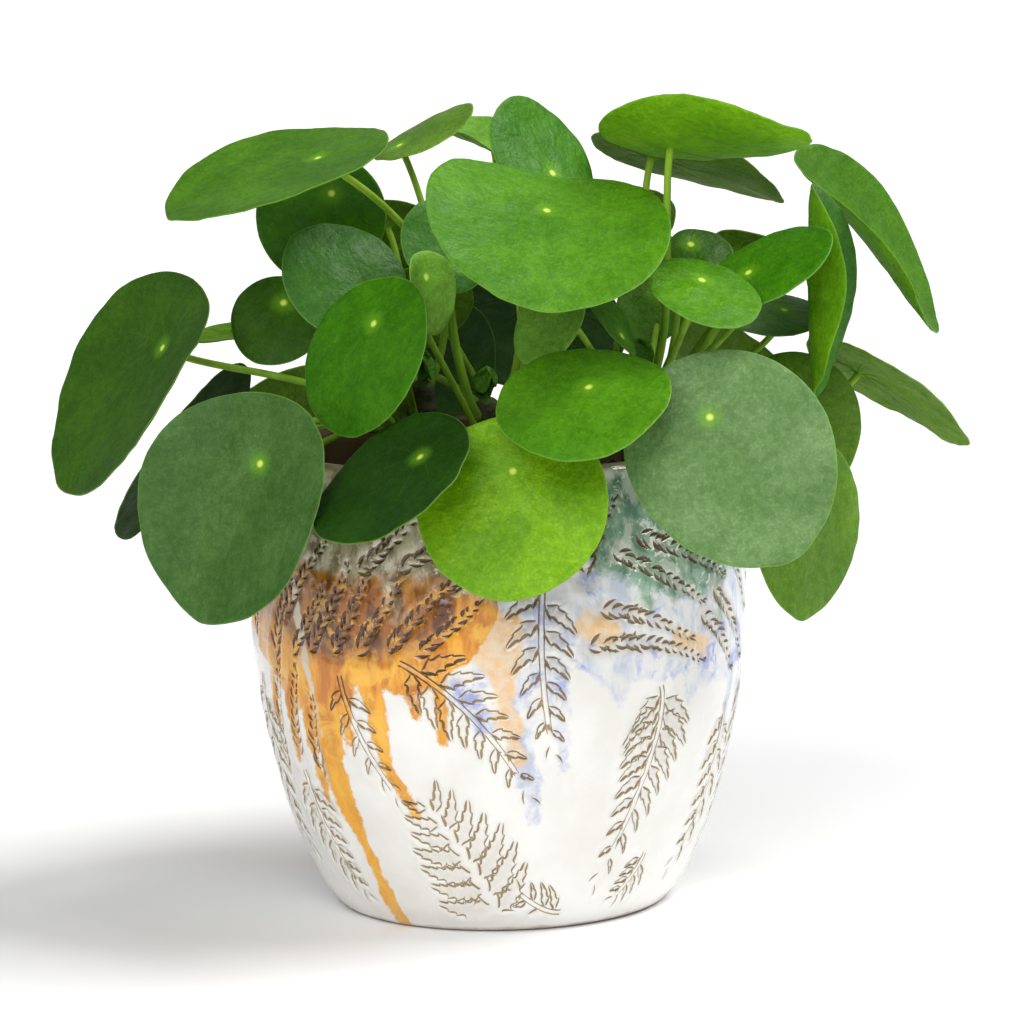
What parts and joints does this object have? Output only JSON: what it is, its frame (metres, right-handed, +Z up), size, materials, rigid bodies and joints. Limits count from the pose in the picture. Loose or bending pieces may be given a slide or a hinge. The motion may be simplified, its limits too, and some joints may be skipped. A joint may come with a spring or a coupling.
{
  "type": "potted pilea plant",
  "caption": "Pilea house plant with round leaves on long petioles, growing in a glazed ceramic pot with pressed fern fronds and a drawn-in foot, filled with potting soil.",
  "frame": {"origin": "centre of the pot's flat underside", "axes": "+Z up; the side that the picture shows faces -Y, and the viewer's right is +X"},
  "size_m": [0.3156, 0.2584, 0.2785],
  "materials": {
    "glaze": "gloss",
    "soil": "matte",
    "stem": "satin",
    "leaf": "satin"
  },
  "bodies": {
    "root": {"leaf_left_01": "leaf", "leaf_left_02": "leaf", "leaf_left_03": "leaf", "leaf_left_04": "leaf", "leaf_left_05": "leaf", "leaf_left_06": "leaf", "leaf_left_07": "leaf", "leaf_left_08": "leaf", "leaf_left_09": "leaf", "leaf_left_10": "leaf", "leaf_left_11": "leaf", "leaf_left_12": "leaf", "leaf_main_01": "leaf", "leaf_main_02": "leaf", "leaf_main_03": "leaf", "leaf_main_04": "leaf", "leaf_main_05": "leaf", "leaf_main_06": "leaf", "leaf_main_07": "leaf", "leaf_rear_01": "leaf", "leaf_rear_02": "leaf", "leaf_rear_03": "leaf", "leaf_rear_04": "leaf", "leaf_rear_05": "leaf", "leaf_rear_06": "leaf", "leaf_right_01": "leaf", "leaf_right_02": "leaf", "leaf_right_03": "leaf", "leaf_right_04": "leaf", "leaf_right_05": "leaf", "leaf_right_06": "leaf", "leaf_right_07": "leaf", "leaf_right_08": "leaf", "leaf_right_09": "leaf", "leaf_right_10": "leaf", "leaf_right_11": "leaf", "leaf_side_01": "leaf", "leaf_side_02": "leaf", "leaf_side_03": "leaf", "leaf_side_04": "leaf", "leaf_side_05": "leaf", "leaf_side_06": "leaf", "leaf_side_07": "leaf", "pot": "glaze", "shoot_left": "stem", "shoot_main": "stem", "shoot_rear": "stem", "shoot_right": "stem", "shoot_side": "stem", "soil": "soil"}
  },
  "joints": []
}
